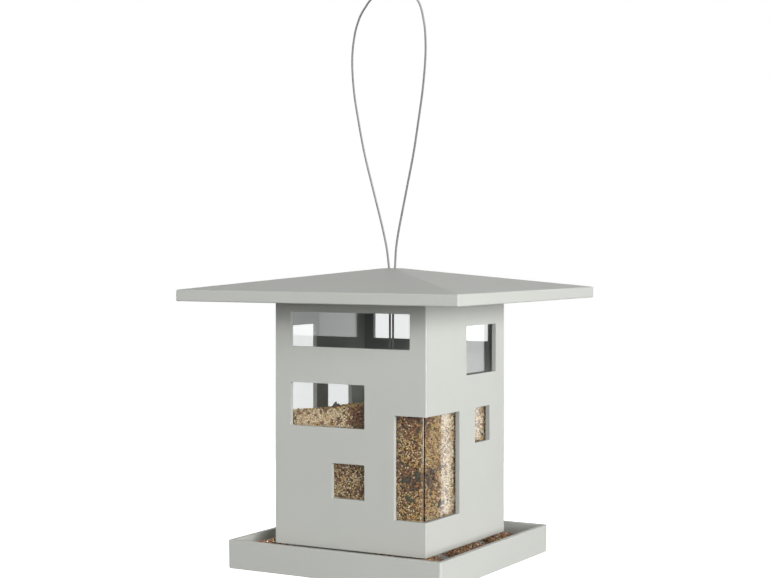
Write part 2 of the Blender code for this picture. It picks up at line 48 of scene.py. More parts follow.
class Wire:
    # one output socket; sums, products and comparisons on it add their Math nodes
    def __init__(self, board, socket):
        self.board = board
        self.socket = socket

    def maths(self, operation, first, second):
        return self.board.node("Math", {"operation": operation}, {0: first, 1: second})

    def __add__(self, other):
        return self.maths("ADD", self, other)

    def __radd__(self, other):
        return self.maths("ADD", other, self)

    def __sub__(self, other):
        return self.maths("SUBTRACT", self, other)

    def __rsub__(self, other):
        return self.maths("SUBTRACT", other, self)

    def __mul__(self, other):
        return self.maths("MULTIPLY", self, other)

    def __rmul__(self, other):
        return self.maths("MULTIPLY", other, self)

    def __lt__(self, other):
        return self.maths("LESS_THAN", self, other)

    def __gt__(self, other):
        return self.maths("GREATER_THAN", self, other)

    def __abs__(self):
        return self.maths("ABSOLUTE", self, 0.0)

    def orLarger(self, other):
        return self.maths("MAXIMUM", self, other)

    def beside(self, output):
        # another output of the same node
        return Wire(self.board, self.socket.node.outputs[output])

    def parts(self):
        # a vector's X, Y and Z
        split = self.board.node("SeparateXYZ", {}, {0: self})
        return [split.beside(axis) for axis in "XYZ"]

    def fade(self, start, end, low=0.0, high=1.0, easing="LINEAR"):
        # low up to start, high from end on
        return self.board.node("MapRange", {"interpolation_type": easing}, {
            "Value": self, "From Min": start, "From Max": end,
            "To Min": low, "To Max": high}, "Result")


class Board:
    # the node sheet of a material or of the world
    def __init__(self, owner, output):
        self.owner = owner
        owner.use_nodes = True
        self.tree = owner.node_tree
        self.tree.nodes.clear()
        self.output = self.tree.nodes.new(output)

    def node(self, kind, settings=None, inputs=None, output=0):
        made = self.tree.nodes.new("ShaderNode" + kind)
        for name, value in (settings or {}).items():
            if name == "stops":
                while len(made.color_ramp.elements) < len(value):
                    made.color_ramp.elements.new(0.5)
                for stop, (place, colour) in zip(made.color_ramp.elements, value):
                    stop.position = place
                    stop.color = (*colour, 1.0)
            else:
                setattr(made, name, value)
        for name, value in (inputs or {}).items():
            if isinstance(value, Wire):
                self.tree.links.new(value.socket, made.inputs[name])
            else:
                made.inputs[name].default_value = value
        return Wire(self, made.outputs[output])

    def blendColour(self, share, first, second):
        # sockets 6 and 7, and output 2, are the Mix node's colours
        inputs = {0: share}
        for socket, colour in ((6, first), (7, second)):
            inputs[socket] = (*colour, 1.0) if isinstance(colour, tuple) else colour
        return self.node("Mix", {"data_type": "RGBA"}, inputs, 2)

    def finish(self, shader):
        self.tree.links.new(shader.socket, self.output.inputs["Surface"])
        return self.owner


def newBoard(name):
    return Board(bpy.data.materials.new(name), "ShaderNodeOutputMaterial")


def noise(board, place, size, detail=2.0, roughness=0.5):
    return board.node("TexNoise", {}, {"Vector": place, "Scale": 1 / size, "Detail": detail,
                                       "Roughness": roughness}, "Fac")


def addObject(name, mesh, material=None):
    piece = bpy.data.objects.new(name, mesh)
    bpy.context.scene.collection.objects.link(piece)
    if material is not None:
        mesh.materials.append(material)
    return piece


def meshFrom(name, corners, faces, slots=None, smooth=True):
    # a mesh from arrays: corner places, faces of equal size, and a material slot for each face
    corners = np.asarray(corners, np.float32)
    faces = np.asarray(faces, np.int32)
    mesh = bpy.data.meshes.new(name)
    mesh.vertices.add(len(corners))
    mesh.vertices.foreach_set("co", corners.ravel())
    mesh.loops.add(faces.size)
    mesh.loops.foreach_set("vertex_index", faces.ravel())
    mesh.polygons.add(len(faces))
    mesh.polygons.foreach_set("loop_start", np.arange(len(faces), dtype=np.int32) * faces.shape[1])
    if slots is not None:
        mesh.polygons.foreach_set("material_index", np.asarray(slots, np.int32))
    mesh.update(calc_edges=True)
    mesh.validate()
    if smooth:
        mesh.shade_smooth()
    return mesh


def ringFaces(index):
    # faces between closed rings of corners, one ring in each row
    after = np.roll(index, -1, axis=1)
    return np.stack([index[:-1], after[:-1], after[1:], index[1:]], -1).reshape(-1, 4)


def closeMesh(mesh, rings=(), creaseAngle=None, weldWithin=None):
    # puts a flat face over each open ring of corners, and turns all faces outwards
    shape = bmesh.new()
    shape.from_mesh(mesh)
    shape.verts.ensure_lookup_table()
    for ring in rings:
        shape.faces.new([shape.verts[n] for n in ring])
    if weldWithin is not None:
        bmesh.ops.remove_doubles(shape, verts=shape.verts, dist=weldWithin)
    bmesh.ops.recalc_face_normals(shape, faces=shape.faces)
    shape.to_mesh(mesh)
    shape.free()
    mesh.shade_smooth()
    if creaseAngle is not None:
        mesh.set_sharp_from_angle(angle=math.radians(creaseAngle))


# the photograph's view, worked out from its straight edges
view = {
    "place": (0.7897, -1.3974, 0.3087),
    "looksAlong": (-0.4957, 0.8685, 0.0),
    "lens": 76.43,
    "sensor": 36.0,
    "shiftY": -0.0571,
    "reach": 200.0,
}


def placeCamera():
    data = bpy.data.cameras.new("photoCamera")
    data.lens = view["lens"]
    data.sensor_width = view["sensor"]
    data.sensor_fit = "HORIZONTAL"
    data.shift_y = view["shiftY"]
    data.clip_end = view["reach"]
    camera = bpy.data.objects.new("photoCamera", data)
    bpy.context.scene.collection.objects.link(camera)
    camera.location = view["place"]
    camera.rotation_euler = Vector(view["looksAlong"]).to_track_quat("-Z", "Y").to_euler()
    bpy.context.scene.camera = camera


placeCamera()
print("camera placed")


steelLook = {
    "drawnSteel": ((0.60, 0.60, 0.59), 0.34),   # colour and roughness
    "screwSteel": ((0.42, 0.42, 0.42), 0.38),
    "streakSize": 0.0012,
    "streakTone": 0.90,                         # the darkest streaks, as a share of the colour
    "roughnessRange": 0.10,
}


def makeSteel(name):
    # metal with fine streaks in its tone and gloss
    colour, roughness = steelLook[name]
    board = newBoard(name)
    place = board.node("TexCoord", output="Object")
    streak = noise(board, place, steelLook["streakSize"], 3.0, 0.6)
    tone = board.blendColour(streak, tuple(c * steelLook["streakTone"] for c in colour), colour)
    return board.finish(board.node("BsdfPrincipled", {}, {
        "Base Color": tone,
        "Metallic": 1.0,
        "Roughness": (streak - 0.5) * steelLook["roughnessRange"] + roughness,
    }))


loopCable = {
    "diameter": 0.0022,
    "roofTip": 0.2860,      # height of the roof's flat tip
    "split": 0.2720,        # where the free loop meets the inner runs
    "innerSpread": 0.00175,
    "tipSpread": 0.00335,
    "runFoot": 0.0012,      # cut ends below the ferrule
    "runGap": 0.0003,       # between an inner run's top and the free loop
    "strands": 6,
    "lay": 0.0125,          # one turn of the strands
    "groove": 0.20,         # depth between strands, as a share of the radius
    "strandRound": 0.6,     # lower is rounder
    "stepsPerTurn": 10,
    "sides": 24,
    "creaseAngle": 60,
}


def loopRoute():
    # the free loop, listed: height above the roof's tip, half the gap between the strands, and lean
    c = loopCable
    rise = [
        (c["split"] - c["roofTip"], c["innerSpread"], 0.0),
        (-0.0095, 0.00200, 0.0),
        (-0.0015, c["tipSpread"] - 0.00018, 0.0),
        (0.0030, 0.00360, 0.0),
        (0.0190, 0.0052, -0.0006),
        (0.0345, 0.0082, -0.0011),
        (0.0500, 0.0119, -0.0015),
        (0.0815, 0.0199, -0.0025),
        (0.1130, 0.0277, -0.0034),
        (0.1445, 0.0338, -0.0041),
        (0.1760, 0.0390, -0.0044),
        (0.2070, 0.0414, -0.0040),
        (0.2310, 0.0398, -0.0029),
        (0.2460, 0.0362, -0.0018),
        (0.2530, 0.0334, -0.0008),
        (0.2590, 0.0299, 0.0001),
        (0.2640, 0.0259, 0.0003),
        (0.2700, 0.0186, 0.0002),
        (0.2734, 0.0110, 0.0001),
    ]
    top = 0.2748
    left = [Vector((lean - spread, 0, c["roofTip"] + height)) for height, spread, lean in rise]
    right = [Vector((lean + spread, 0, c["roofTip"] + height)) for height, spread, lean in rise]
    return left + [Vector((0, 0, c["roofTip"] + top))] + right[::-1]


def smoothRoute(points, spacing, perSpan=12):
    # evenly spaced points on a smooth curve through the route, and its length
    fine = []
    padded = [2 * points[0] - points[1]] + points + [2 * points[-1] - points[-2]]
    for i in range(len(points) - 1):
        a, b, c, d = padded[i:i + 4]
        for step in range(perSpan):
            t = step / perSpan
            fine.append(0.5 * (2 * b + (c - a) * t + (2 * a - 5 * b + 4 * c - d) * t * t
                               + (3 * b - a - 3 * c + d) * t ** 3))
    fine.append(points[-1].copy())
    fine = np.array(fine)
    lengths = np.concatenate([[0], np.cumsum(np.linalg.norm(np.diff(fine, axis=0), axis=1))])
    total = float(lengths[-1])
    goals = np.linspace(0, total, max(2, round(total / spacing) + 1))
    return np.stack([np.interp(goals, lengths, fine[:, k]) for k in range(3)], axis=1), total


def twistedTube(name, path, material):
    # a wire rope: its outline is a ring of strands that turns as it goes along
    c = loopCable
    count, sides = len(path), c["sides"]
    step = float(np.linalg.norm(path[1] - path[0]))
    tangents = np.gradient(path, axis=0)
    tangents /= np.linalg.norm(tangents, axis=1)[:, None]
    across = np.array([0.0, 1.0, 0.0])          # every stretch lies in one upright plane
    upright = np.cross(tangents, across)
    angles = np.arange(sides) * 2 * math.pi / sides
    turn = np.arange(count) * step / c["lay"] * 2 * math.pi
    lobes = np.abs(np.cos(angles * c["strands"] / 2))
    radius = c["diameter"] / 2 * (1 - c["groove"] * (1 - lobes ** c["strandRound"]))
    a = angles[None, :] + turn[:, None]
    outline = np.cos(a)[..., None] * across + np.sin(a)[..., None] * upright[:, None, :]
    corners = (path[:, None, :] + radius[None, :, None] * outline).reshape(-1, 3)
    index = np.arange(count * sides).reshape(count, sides)
    mesh = meshFrom(name, corners, ringFaces(index))
    closeMesh(mesh, (index[0], index[-1]), c["creaseAngle"])
    return addObject(name, mesh, material)


drawnSteel = makeSteel("drawnSteel")
screwSteel = makeSteel("screwSteel")

spacing = loopCable["lay"] / loopCable["stepsPerTurn"]
loopPath, loopLength = smoothRoute(loopRoute(), spacing)
hangingLoop = twistedTube("hangingLoop", loopPath, drawnSteel)
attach(hangingLoop, "base")
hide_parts("cable_loop")
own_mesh(hangingLoop)

runTop = loopCable["split"] - loopCable["runGap"]
rows = round((runTop - loopCable["runFoot"]) / spacing)
heights = np.linspace(loopCable["runFoot"], runTop, rows)
for sideName, side in (("Left", -1), ("Right", 1)):
    x = np.full(rows, side * loopCable["innerSpread"])
    run = twistedTube("innerRun" + sideName, np.stack([x, np.zeros(rows), heights], 1), drawnSteel)
    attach(run, "base")
    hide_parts("cable_run_" + sideName.lower())
print("cable made:", round(loopLength, 3), "m in the loop")


plastic = {
    "colour": (0.565, 0.575, 0.540),
    "clouding": (0.965, 1.035),     # darkest and lightest, as shares of the colour
    "cloudSize": 0.045,
    "speckSize": 0.0021,
    "speckShare": 0.2,
    "roughness": 0.50,
    "roughnessRange": 0.08,
    "sheen": 0.35,                  # specular level
    "grainSize": 0.00035,           # moulded texture
    "grainDepth": 0.00002,
    "grainStrength": 0.35,
    "edgeRound": 0.00035,
    "edgeSteps": 2,
    "edgeAngle": 38,                # only edges sharper than this are rounded
    "weldWithin": 0.00001,
    "deflectorTint": 0.97,
    # painted shade on the house's upper inner faces: their darkest tone, as a share of the colour
    "insideShadeTint": 0.50,
    "insideFace": 0.0783,           # the house's inner faces lie just within this
    "insideShadeFade": (0.180, 0.205),   # heights between which painted shade darkens them
}


def makePlastic(name, tint=1.0, paintedShadeInside=False):
    # fine-textured moulded plastic, with faint clouding in its colour and gloss
    p = plastic
    board = newBoard(name)
    place = board.node("TexCoord", output="Object")
    cloud = noise(board, place, p["cloudSize"], 3.0)
    grain = noise(board, place, p["grainSize"], 2.0, 0.6)
    speck = noise(board, place, p["speckSize"], 1.0)
    base = tuple(c * tint for c in p["colour"])
    darker, lighter = (tuple(c * share for c in base) for share in p["clouding"])
    mottle = cloud * (1 - p["speckShare"]) + speck * p["speckShare"]
    colour = board.blendColour(mottle, darker, lighter)
    if paintedShadeInside:
        # painted shade: a darker tone high on the faces that look inwards
        x, y, height = place.parts()
        insideShadeShare = (abs(x).orLarger(abs(y)) < p["insideFace"]) * height.fade(*p["insideShadeFade"])
        colour = board.blendColour(insideShadeShare, colour, tuple(c * p["insideShadeTint"] for c in base))
    bump = board.node("Bump", {}, {"Strength": p["grainStrength"], "Distance": p["grainDepth"],
                                   "Height": grain})
    return board.finish(board.node("BsdfPrincipled", {}, {
        "Base Color": colour,
        "Roughness": (cloud - 0.5) * p["roughnessRange"] + p["roughness"],
        "Specular IOR Level": p["sheen"],
        "Normal": bump,
    }))


tank = {
    "inner": 0.07505,               # from the middle to a pane's inner face
    "tint": (0.985, 0.990, 0.990),
    "shadowTint": (0.965, 0.970, 0.970),
    "bend": 1.49,                   # index of refraction
}


def makeClear(name):
    # clear moulded plastic that lets the lamps through to the seed
    board = newBoard(name)
    pane = board.node("BsdfGlass", {}, {"Color": (*tank["tint"], 1.0), "Roughness": 0.0,
                                        "IOR": tank["bend"]})
    through = board.node("BsdfTransparent", {}, {"Color": (*tank["shadowTint"], 1.0)})
    shadow = board.node("LightPath", output="Is Shadow Ray")
    return board.finish(board.node("MixShader", {}, {0: shadow, 1: pane, 2: through}))


def softenEdges(piece):
    # moulded edges are never knife sharp
    weld = piece.modifiers.new("weld", "WELD")
    weld.merge_threshold = plastic["weldWithin"]
    bevel = piece.modifiers.new("softEdges", "BEVEL")
    bevel.width = plastic["edgeRound"]
    bevel.segments = plastic["edgeSteps"]
    bevel.limit_method = "ANGLE"
    bevel.angle_limit = math.radians(plastic["edgeAngle"])
    bevel.use_clamp_overlap = True
    normals = piece.modifiers.new("evenShading", "WEIGHTED_NORMAL")
    normals.keep_sharp = True


bodyPlastic = makePlastic("bodyPlastic")
finishes = {
    "roof": bodyPlastic,
    "tray": bodyPlastic,
    "seed_deflector": makePlastic("deflectorPlastic", plastic["deflectorTint"]),
    # the house's upper inner faces carry painted shade
    "house_shell": makePlastic("housePlasticInsideShade", paintedShadeInside=True),
    "seed_tank": makeClear("clearPlastic"),
    "anchor_washer": screwSteel,
    "ferrule": drawnSteel,
}
for number in range(1, 5):
    finishes["house_screw_" + str(number)] = screwSteel
for name, material in finishes.items():
    nodes[name].data.materials.clear()
    nodes[name].data.materials.append(material)
softenEdges(nodes["house_shell"])
print("moulded pieces, tank and fixings finished:", len(finishes))


# kinds of seed: colour, three radii in mm, roughness
seedKinds = {
    "milletGold": ((0.780, 0.510, 0.195), (1.02, 0.94, 0.88), 0.50),
    "milletTan": ((0.860, 0.640, 0.360), (1.02, 0.94, 0.88), 0.50),
    "milletPale": ((1.000, 0.870, 0.640), (1.02, 0.94, 0.88), 0.50),
    "milletRed": ((0.420, 0.180, 0.095), (1.02, 0.94, 0.88), 0.45),
    "sorghum": ((0.360, 0.200, 0.130), (1.60, 1.45, 1.30), 0.50),
    "hemp": ((0.140, 0.120, 0.085), (1.50, 1.35, 1.20), 0.45),
    "greenPea": ((0.340, 0.340, 0.130), (1.35, 1.25, 1.15), 0.50),
    "rape": ((0.030, 0.020, 0.016), (0.95, 0.92, 0.90), 0.40),
    "canary": ((0.720, 0.540, 0.280), (1.90, 0.80, 0.70), 0.45),
    "striped": ((0.110, 0.115, 0.090), (5.20, 2.10, 1.30), 0.55),
}

# share of each kind, in the order above
seedMixes = {
    "tank": (0.38, 0.38, 0.08, 0.07, 0.03, 0.008, 0.010, 0.006, 0.02, 0.000),
    "pale": (0.02, 0.11, 0.85, 0.01, 0.01, 0.002, 0.000, 0.002, 0.01, 0.000),
    "brown": (0.10, 0.13, 0.01, 0.34, 0.26, 0.06, 0.02, 0.03, 0.02, 0.000),
    "dark": (0.06, 0.07, 0.01, 0.16, 0.18, 0.30, 0.05, 0.10, 0.00, 0.000),
    "tray": (0.20, 0.14, 0.08, 0.36, 0.12, 0.03, 0.02, 0.03, 0.02, 0.000),
}

husk = {"sheen": 0.45, "coat": 0.08, "coatRoughness": 0.25}

# the seed mass that fills the gaps between the grains, coloured with painted shade; tones run from
# a lump's middle to its darker edge
seedShadeMassLook = {
    "lumpScale": 480.0,
    "usual": ((0.00, (0.420, 0.270, 0.130)), (0.45, (0.200, 0.120, 0.055)),
              (1.00, (0.055, 0.032, 0.016))),
    "pale": ((0.00, (0.950, 0.780, 0.550)), (0.45, (0.800, 0.620, 0.410)),
             (1.00, (0.400, 0.280, 0.170))),
    "paleAcross": (-0.018, 0.000),  # paler seed lies high in the tank on its left, as poured, so the mass there carries less painted shade
    "paleUp": (0.105, 0.130),
    "roughness": 0.75,
    "lumpStrength": 0.9,
    "lumpDepth": 0.0008,
}


def makeSeedMaterial(kind):
    colour, _, roughness = seedKinds[kind]
    board = newBoard("seed" + kind[0].upper() + kind[1:])
    return board.finish(board.node("BsdfPrincipled", {}, {
        "Base Color": (*colour, 1.0),
        "Roughness": roughness,
        "Specular IOR Level": husk["sheen"],
        "Coat Weight": husk["coat"],
        "Coat Roughness": husk["coatRoughness"],
    }))


def makeSeedMass(name):
    m = seedShadeMassLook
    board = newBoard(name)
    place = board.node("TexCoord", output="Object")
    cells = board.node("TexVoronoi", {}, {"Vector": place, "Scale": m["lumpScale"]}, "Distance")
    usual = board.node("ValToRGB", {"stops": m["usual"]}, {"Fac": cells})
    light = board.node("ValToRGB", {"stops": m["pale"]}, {"Fac": cells})
    across, _, height = place.parts()
    pale = (1 - across.fade(*m["paleAcross"])) * height.fade(*m["paleUp"])
    bump = board.node("Bump", {"invert": True}, {
        "Strength": m["lumpStrength"], "Distance": m["lumpDepth"], "Height": cells})
    return board.finish(board.node("BsdfPrincipled", {}, {
        "Base Color": board.blendColour(pale, usual, light),
        "Roughness": m["roughness"],
        "Normal": bump,
    }))


# how the grains are strewn
grainLay = {
    "draw": 5,              # another number strews them another way
    "cell": 0.0045,         # squares in which neighbours are looked for
    "usual": 0.00092,       # radius of a usual grain
    "tries": 2.4,           # tries for each usual grain that the area would hold
    "small": 0.0012,        # kinds with a smaller radius are drawn together, after the big ones
    "smallTries": 0.9,
    "sizes": (0.90, 1.08),  # shares of the kind's own size
}

millimetre = 0.001
rng = np.random.RandomState(grainLay["draw"])
kindNames = list(seedKinds)
kindRadii = np.array([seedKinds[kind][1] for kind in kindNames]) * millimetre
lyingRadii = [0.5 * millimetre * (long + wide) for _, (long, wide, _), _ in seedKinds.values()]
seedMaterials = [makeSeedMaterial(kind) for kind in kindNames]
# the seed mass between the grains, coloured with painted shade
seedShadeMass = makeSeedMass("seedShadeMass")
mixes = {name: np.array(mix) for name, mix in seedMixes.items()}


def grainShape(splits):
    # a small ball: 8 faces, each split into four so many times
    corners = [(1, 0, 0), (0, 1, 0), (-1, 0, 0), (0, -1, 0), (0, 0, 1), (0, 0, -1)]
    faces = [(0, 1, 4), (1, 2, 4), (2, 3, 4), (3, 0, 4), (1, 0, 5), (2, 1, 5), (3, 2, 5), (0, 3, 5)]
    for _ in range(splits):
        found, split = {}, []

        def middle(a, b):
            key = (min(a, b), max(a, b))
            if key not in found:
                point = (np.array(corners[a]) + np.array(corners[b])) / 2
                corners.append(tuple(point / np.linalg.norm(point)))
                found[key] = len(corners) - 1
            return found[key]

        for a, b, c in faces:
            ab, bc, ca = middle(a, b), middle(b, c), middle(c, a)
            split += [(a, ab, ca), (b, bc, ab), (c, ca, bc), (ab, bc, ca)]
        faces = split
    return np.array(corners, float), np.array(faces)


ballCorners, ballFaces = grainShape(1)


def turned(count):
    # random turns, as count 3x3 arrays
    q = rng.normal(size=(count, 4))
    q /= np.linalg.norm(q, axis=1)[:, None]
    w, x, y, z = q.T
    return np.stack([
        np.stack([1 - 2 * (y * y + z * z), 2 * (x * y - z * w), 2 * (x * z + y * w)], -1),
        np.stack([2 * (x * y + z * w), 1 - 2 * (x * x + z * z), 2 * (y * z - x * w)], -1),
        np.stack([2 * (x * z - y * w), 2 * (y * z + x * w), 1 - 2 * (x * x + y * y)], -1),
    ], 1)


def localMix(x, y, mix, clusters):
    # the mix here, after the clusters of other seed near it
    share = mixes[mix]
    for cx, cy, size, strength, other in clusters:
        weight = strength * math.exp(-(((x - cx) ** 2 + (y - cy) ** 2) / size ** 2) ** 2)
        share = share * (1 - weight) + mixes[other] * weight
    return share


def scatter(corner, width, height, mix, clusters=(), packing=1.0, taken=(), closeness=0.90):
    # grains over a rectangle, the big ones first: their places and kinds
    g = grainLay
    grid, spots = {}, []

    def cellOf(x, y):
        return math.floor(x / g["cell"]), math.floor(y / g["cell"])

    def settle(x, y, kind):
        # a grain stays only where none lies too near
        i, j = cellOf(x, y)
        if all((x - a) ** 2 + (y - b) ** 2 > (closeness * (lyingRadii[kind] + r)) ** 2
               for di in (-1, 0, 1) for dj in (-1, 0, 1)
               for a, b, r in grid.get((i + di, j + dj), ())):
            grid.setdefault((i, j), []).append((x, y, lyingRadii[kind]))
            spots.append((x, y, kind))

    for x, y, radius in taken:
        grid.setdefault(cellOf(x, y), []).append((x, y, radius))
    most = mixes[mix].copy()
    for *_, other in clusters:
        most = np.maximum(most, mixes[other])
    tries = width * height / (math.pi * g["usual"] ** 2) * g["tries"] * packing
    small = [k for k, radius in enumerate(lyingRadii) if radius < g["small"]]
    big = [k for k in range(len(lyingRadii)) if k not in small]
    for kind in sorted(big, key=lambda k: -lyingRadii[k]):
        for u, v, chance in rng.uniform(size=(int(tries * most[kind]), 3)):
            x, y = corner[0] + u * width, corner[1] + v * height
            if chance * most[kind] <= localMix(x, y, mix, clusters)[kind]:
                settle(x, y, kind)
    for u, v, pick in rng.uniform(size=(int(tries * g["smallTries"]), 3)):
        x, y = corner[0] + u * width, corner[1] + v * height
        shares = np.cumsum(localMix(x, y, mix, clusters)[small])
        settle(x, y, small[int(np.searchsorted(shares, pick * shares[-1]))])
    return np.array(spots)


def grainMesh(name, places, kinds, turns=None):
    # one mesh of grains, each a squashed ball with its own turn and size
    count = len(places)
    kinds = np.asarray(kinds, int)
    radii = kindRadii[kinds] * rng.uniform(*grainLay["sizes"], size=(count, 1))
    turns = turned(count) if turns is None else turns
    balls = ballCorners[None] * radii[:, None, :]
    corners = np.einsum("nij,nkj->nki", turns, balls) + places[:, None, :]
    faces = ballFaces[None] + (np.arange(count) * len(ballCorners))[:, None, None]
    mesh = meshFrom(name, corners.reshape(-1, 3), faces.reshape(-1, 3),
                    np.repeat(kinds, len(ballFaces)))
    for material in seedMaterials:
        mesh.materials.append(material)
    return mesh


faceTurn = {"right": 0, "back": 1, "left": 2, "front": 3}   # quarter turns from the +X side


def onFace(face, along, depth, up):
    # along the face seen from outside, depth from the middle
    angle = math.radians(90 * faceTurn[face])
    return np.stack([depth * math.cos(angle) - along * math.sin(angle),
                     depth * math.sin(angle) + along * math.cos(angle), up], -1)


tankSeed = {
    "level": 0.1518,
    "slopeX": 0.090,
    "slopeY": -0.050,
    "mound": 0.0035,
    "moundWidth": 0.035,
    "moundPlace": (-0.004, -0.035),
    "ripple": (0.0006, 95, 80),         # height, and waves along X and Y
    "lowest": 0.046,                    # grains behind the panes reach from here
    "highest": 0.165,
    "layers": ((0.0002, 1.0), (0.0017, 0.6)),   # gap to the pane, and how fully it is laid
    "closeness": 0.82,                  # of grains in a layer; 1 is side by side
    "offPane": 1.2,                     # a grain's middle is this many least radii further in
    "depthScatter": 0.0007,
    "underTop": 0.0004,                 # grains behind the panes stay this far below the surface
    "cornerRoom": 0.0014,
    "topRoom": 0.0012,                  # from the panes to the grains on the surface
    "topScatter": (-0.0011, 0.0004),
    "cableRoom": 0.0032,
    "bigRoom": 0.0018,                  # half width and half length kept free for each big seed
    "bigReach": 0.0024,
    "bigOffPane": 0.0016,
    # the seed mass behind the grains, dark with painted shade: how deep it lies, its foot below
    # them, its mesh
    "massBehind": 0.0032,
    "massUnder": 0.0014,
    "massFoot": 0.015,
    "massCells": 60,
    "massCrease": 50,
    # clusters of other seed: along the face and up (X and Y on top), size, strength, mix
    "clusters": {
        "front": ((-0.0480, 0.1460, 0.0290, 1.0, "pale"), (-0.0120, 0.1440, 0.0150, 0.9, "pale"),
                  (0.0140, 0.1500, 0.0180, 1.0, "brown"), (-0.0300, 0.1330, 0.0040, 0.5, "brown"),
                  # the brown and dark clusters high at the front-right corner are partly darker
                  # seed and partly painted shade under the corner window's top edge
                  (0.0640, 0.1560, 0.0200, 1.0, "brown"), (0.0660, 0.1560, 0.0120, 0.8, "dark"),
                  (0.0655, 0.0930, 0.0130, 1.0, "dark"), (0.0520, 0.1020, 0.0060, 0.5, "brown"),
                  (0.0000, 0.0860, 0.0260, 0.45, "pale"), (0.0100, 0.0800, 0.0050, 0.5, "brown"),
                  (-0.0130, 0.0960, 0.0050, 0.6, "brown")),
        # the brown and dark clusters high at the front-right corner are partly darker seed and
        # partly painted shade under the corner window's top edge
        "right": ((-0.0610, 0.0920, 0.0110, 1.0, "dark"), (-0.0700, 0.1520, 0.0160, 1.0, "brown"),
                  (-0.0730, 0.1540, 0.0120, 0.9, "dark"), (-0.0420, 0.1020, 0.0060, 0.4, "brown"),
                  # the four pale clusters at along -0.026 lighten a column up the right pane, near
                  # the window's side
                  (-0.0260, 0.1420, 0.0150, 0.9, "pale"), (-0.0260, 0.1160, 0.0150, 0.9, "pale"),
                  (-0.0260, 0.0900, 0.0150, 0.9, "pale"), (-0.0260, 0.0640, 0.0150, 0.9, "pale"),
                  (0.0330, 0.1340, 0.0180, 0.7, "pale")),
        "back": ((-0.0150, 0.0880, 0.0080, 0.8, "dark"), (0.0050, 0.1450, 0.0100, 0.7, "brown"),
                 (-0.0400, 0.1480, 0.0200, 0.8, "pale")),
        "left": ((-0.0200, 0.1280, 0.0080, 0.8, "dark"), (0.0400, 0.1400, 0.0090, 0.6, "brown"),
                 (0.0100, 0.1450, 0.0140, 0.7, "pale")),
        "top": ((-0.0350, 0.0000, 0.0400, 0.8, "pale"), (0.0200, -0.0500, 0.0160, 0.7, "brown")),
    },
    # where the windows let the seed be seen: along the face, and up
    "shown": {
        "front": ((-0.0746, 0.034, 0.130, 0.165), (-0.034, 0.034, 0.062, 0.110),
                  (0.040, 0.0746, 0.046, 0.160)),
        "right": ((-0.0746, -0.003, 0.046, 0.160), (0.001, 0.064, 0.108, 0.160)),
        "back": ((-0.0746, 0.034, 0.130, 0.165), (-0.034, 0.034, 0.062, 0.110)),
        "left": ((-0.068, 0.0746, 0.108, 0.165),),
    },
    # big striped seeds lying on the pane: along, up, face, turn
    "bigOnes": ((0.0598, 0.0740, "front", -30.0), (0.0560, 0.0905, "front", 20.0),
                (0.0690, 0.0955, "front", 70.0), (-0.0635, 0.0905, "right", 75.0),
                (-0.0560, 0.0985, "right", 15.0), (-0.0430, 0.0660, "right", 40.0)),
    # dark seeds standing on the heap: place, and height over it
    "standing": ((-0.0250, -0.0690, 0.0010), (-0.0224, -0.0695, 0.0014), (-0.0198, -0.0690, 0.0012),
                 (-0.0240, -0.0685, 0.0030), (-0.0214, -0.0690, 0.0034), (-0.0190, -0.0690, 0.0026),
                 (-0.0226, -0.0680, 0.0046)),
}


def seedHeight(x, y):
    # the seed's surface in the tank
    s = tankSeed
    spread = ((x - s["moundPlace"][0]) ** 2 + (y - s["moundPlace"][1]) ** 2) / s["moundWidth"] ** 2
    rise, wavesX, wavesY = s["ripple"]
    ripple = rise * np.sin(wavesX * x + 1.0) * np.cos(wavesY * y)
    return s["level"] + s["slopeX"] * x + s["slopeY"] * y + s["mound"] * np.exp(-spread) + ripple


def massInTank():
    # a grid under the surface, four sides and a flat foot
    s = tankSeed
    half = tank["inner"] - s["massBehind"]
    line = np.linspace(-half, half, s["massCells"] + 1)
    gx, gy = np.meshgrid(line, line, indexing="ij")
    corners = np.stack([gx, gy, seedHeight(gx, gy) - s["massUnder"]], -1).reshape(-1, 3)
    index = np.arange(len(corners)).reshape(gx.shape)
    quads = np.stack([index[:-1, :-1], index[1:, :-1], index[1:, 1:], index[:-1, 1:]], -1)
    rim = np.concatenate([index[:-1, 0], index[-1, :-1], index[:0:-1, -1], index[0, :0:-1]])
    low = corners[rim]
    low[:, 2] = s["lowest"] - s["massFoot"]
    foot = len(corners) + np.arange(len(rim))
    sides = np.stack([foot, np.roll(foot, -1), np.roll(rim, -1), rim], -1)
    mesh = meshFrom("seedShadeMassInTank", np.concatenate([corners, low]),
                    np.concatenate([quads.reshape(-1, 4), sides]))
    closeMesh(mesh, [foot], s["massCrease"])
    return addObject("seedShadeMassInTank", mesh, seedShadeMass)


def grainsBehindPane(face):
    s, half = tankSeed, tank["inner"]
    places, kinds, taken = [], [], []
    # each big seed keeps three circles along its length free of grains
    for along, up, side, turn in s["bigOnes"]:
        if side == face:
            c, n = math.cos(math.radians(turn)), math.sin(math.radians(turn))
            for k in (-s["bigReach"], 0.0, s["bigReach"]):
                taken.append((along + k * c, up + k * n, s["bigRoom"]))
    for gap, packing in s["layers"]:
        spots = scatter((-half, s["lowest"]), 2 * half, s["highest"] - s["lowest"], "tank",
                        s["clusters"][face], packing, taken, s["closeness"])
        along, up = spots[:, 0], spots[:, 1]
        kind = spots[:, 2].astype(int)
        inward = gap + kindRadii[kind].min(axis=1) * s["offPane"]
        depth = half - inward - rng.uniform(0, s["depthScatter"], len(along))
        point = onFace(face, along, depth, up)
        shown = np.zeros(len(along), bool)
        for left, right, low, high in s["shown"][face]:
            shown |= (along > left) & (along < right) & (up > low) & (up < high)
        shown &= up < seedHeight(point[:, 0], point[:, 1]) - s["underTop"]
        shown &= np.abs(along) < half - s["cornerRoom"]
        places.append(point[shown])
        kinds.append(kind[shown])
    grains = grainMesh("seedPane", np.concatenate(places), np.concatenate(kinds))
    return addObject("seedBehind" + face.capitalize() + "Pane", grains)


